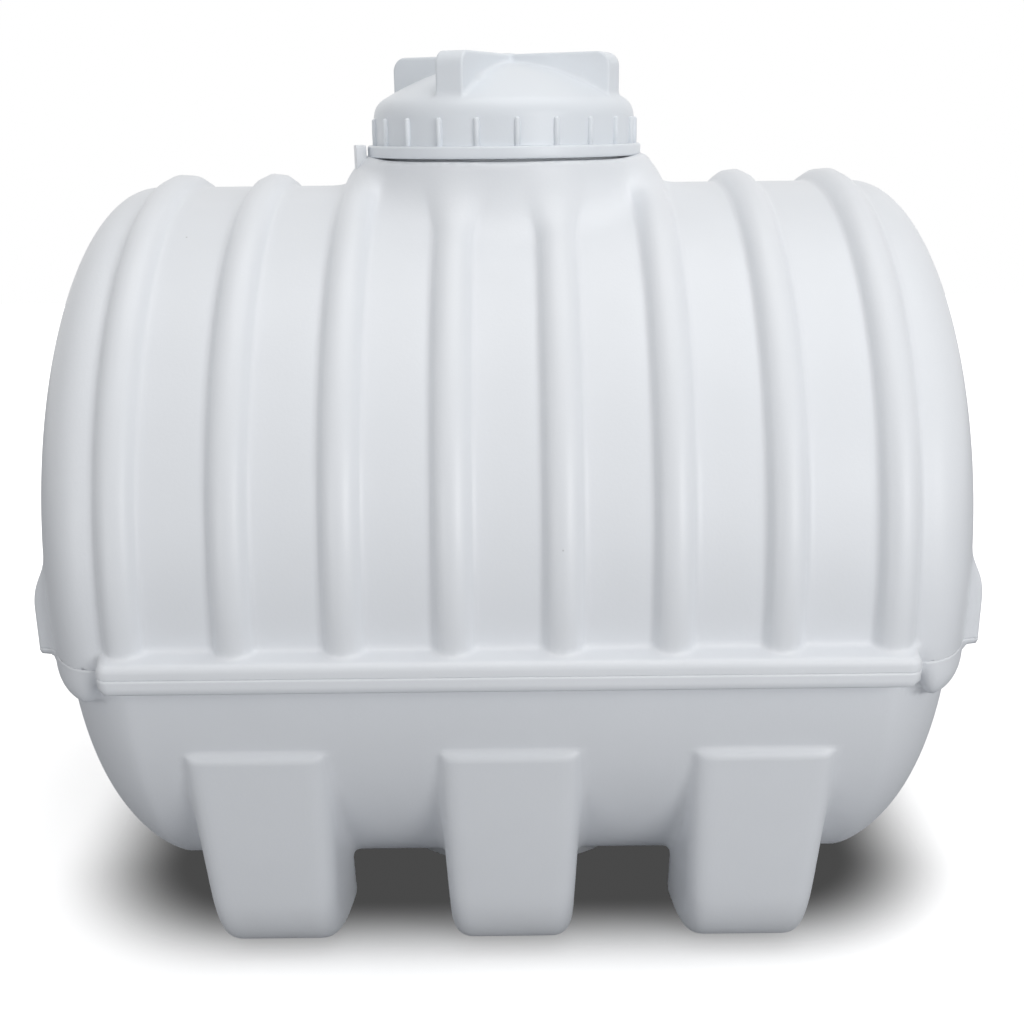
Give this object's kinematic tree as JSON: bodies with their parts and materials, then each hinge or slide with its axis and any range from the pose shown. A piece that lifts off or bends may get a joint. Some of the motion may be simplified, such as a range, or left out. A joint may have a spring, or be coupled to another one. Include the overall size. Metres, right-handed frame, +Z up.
{
  "type": "horizontal water tank",
  "caption": "Horizontal moulded water storage tank with ribbed barrel, dished ends, side ledges, moulded feet and a screwed manway lid on top.",
  "frame": {"origin": "on the ground under the middle of the tank", "axes": "+X along the tank, -Y towards the front, +Z up through the manway"},
  "size_m": [1.304, 1.166, 1.284],
  "materials": {
    "tank": "satin moulded polyethylene, white",
    "lid": "satin moulded polyethylene, white",
    "seal": "soft rubber ring"
  },
  "bodies": {
    "tank": {"end_dome_left_lower": "tank", "end_dome_left_upper": "tank", "end_dome_right_lower": "tank", "end_dome_right_upper": "tank", "foot_back_left": "tank", "foot_back_middle": "tank", "foot_back_right": "tank", "foot_front_left": "tank", "foot_front_middle": "tank", "foot_front_right": "tank", "ledge_back": "tank", "ledge_front": "tank", "lock_lug": "tank", "lower_barrel_back": "tank", "lower_barrel_front": "tank", "lug_back_left": "tank", "lug_back_right": "tank", "lug_front_left": "tank", "lug_front_right": "tank", "manway_neck": "tank", "rib_1": "tank", "rib_2": "tank", "rib_3": "tank", "rib_4": "tank", "rib_5": "tank", "rib_6": "tank", "rib_7": "tank", "rib_8": "tank", "shoulder_left": "tank", "shoulder_right": "tank", "wall_bay_1": "tank", "wall_bay_2": "tank", "wall_bay_3": "tank", "wall_bay_4": "tank", "wall_bay_5": "tank", "wall_bay_6": "tank", "wall_bay_7": "tank"},
    "lid": {"lid_cap": "lid", "lid_flange": "lid", "lid_grip_cross": "lid", "lid_grip_ribs": "lid", "lid_seal": "seal"}
  },
  "joints": [
    {"name": "lid_lift", "type": "slide", "parent": "tank", "child": "lid", "axis": [0, 0, 1], "range_m": [0, 0.2]}
  ]
}
